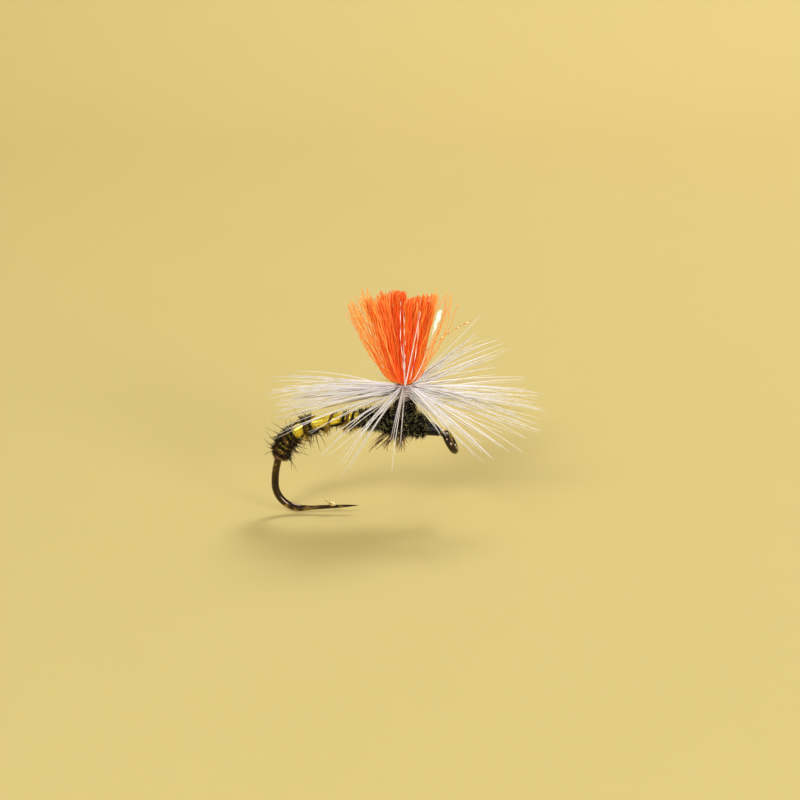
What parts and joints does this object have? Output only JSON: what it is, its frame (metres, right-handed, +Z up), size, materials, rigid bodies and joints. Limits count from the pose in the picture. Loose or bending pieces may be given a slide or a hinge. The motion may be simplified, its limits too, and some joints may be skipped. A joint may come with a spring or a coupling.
{
  "type": "dry fly",
  "caption": "Parachute emerger dry fly: curved down-eye hook, herl and yellow tinsel body, dun hackle wound around an orange yarn post.",
  "frame": {"origin": "centre of the hook eye's bore", "axes": "+X forward, past the eye; +Z up the wing post; the hook's wire lies in the XZ plane"},
  "size_m": [0.0173, 0.0156, 0.015],
  "materials": {
    "hook_wire": "glossy bronzed wire",
    "black_thread": "waxed",
    "grey_thread": "waxed",
    "yellow_tinsel": "metallised",
    "peacock_herl": "iridescent",
    "brown_herl": "matte",
    "orange_yarn": "satin",
    "pearl_flash": "pearl",
    "hackle_stem": "satin",
    "hackle_barb": "glossy",
    "head_varnish": "gloss"
  },
  "bodies": {
    "root": {"abdomen_herl_brown": "brown_herl", "abdomen_herl_dark": "peacock_herl", "abdomen_tinsel": "yellow_tinsel", "hackle_barbs_turn_1": "hackle_barb", "hackle_barbs_turn_2": "hackle_barb", "hackle_barbs_turn_3": "hackle_barb", "hackle_barbs_turn_4": "hackle_barb", "hackle_barbs_turn_5": "hackle_barb", "hackle_quill": "hackle_stem", "head_thread": "black_thread", "head_varnish": "head_varnish", "hook": "hook_wire", "leg_fibres_front": "brown_herl", "leg_fibres_rear": "brown_herl", "post_base_wraps": "grey_thread", "post_flash": "pearl_flash", "post_lashing": "black_thread", "post_yarn": "orange_yarn", "post_yarn_strays": "orange_yarn", "thorax_herl_front": "peacock_herl", "thorax_herl_rear": "peacock_herl", "underbody_thread": "black_thread", "whip_finish": "black_thread"}
  },
  "joints": []
}
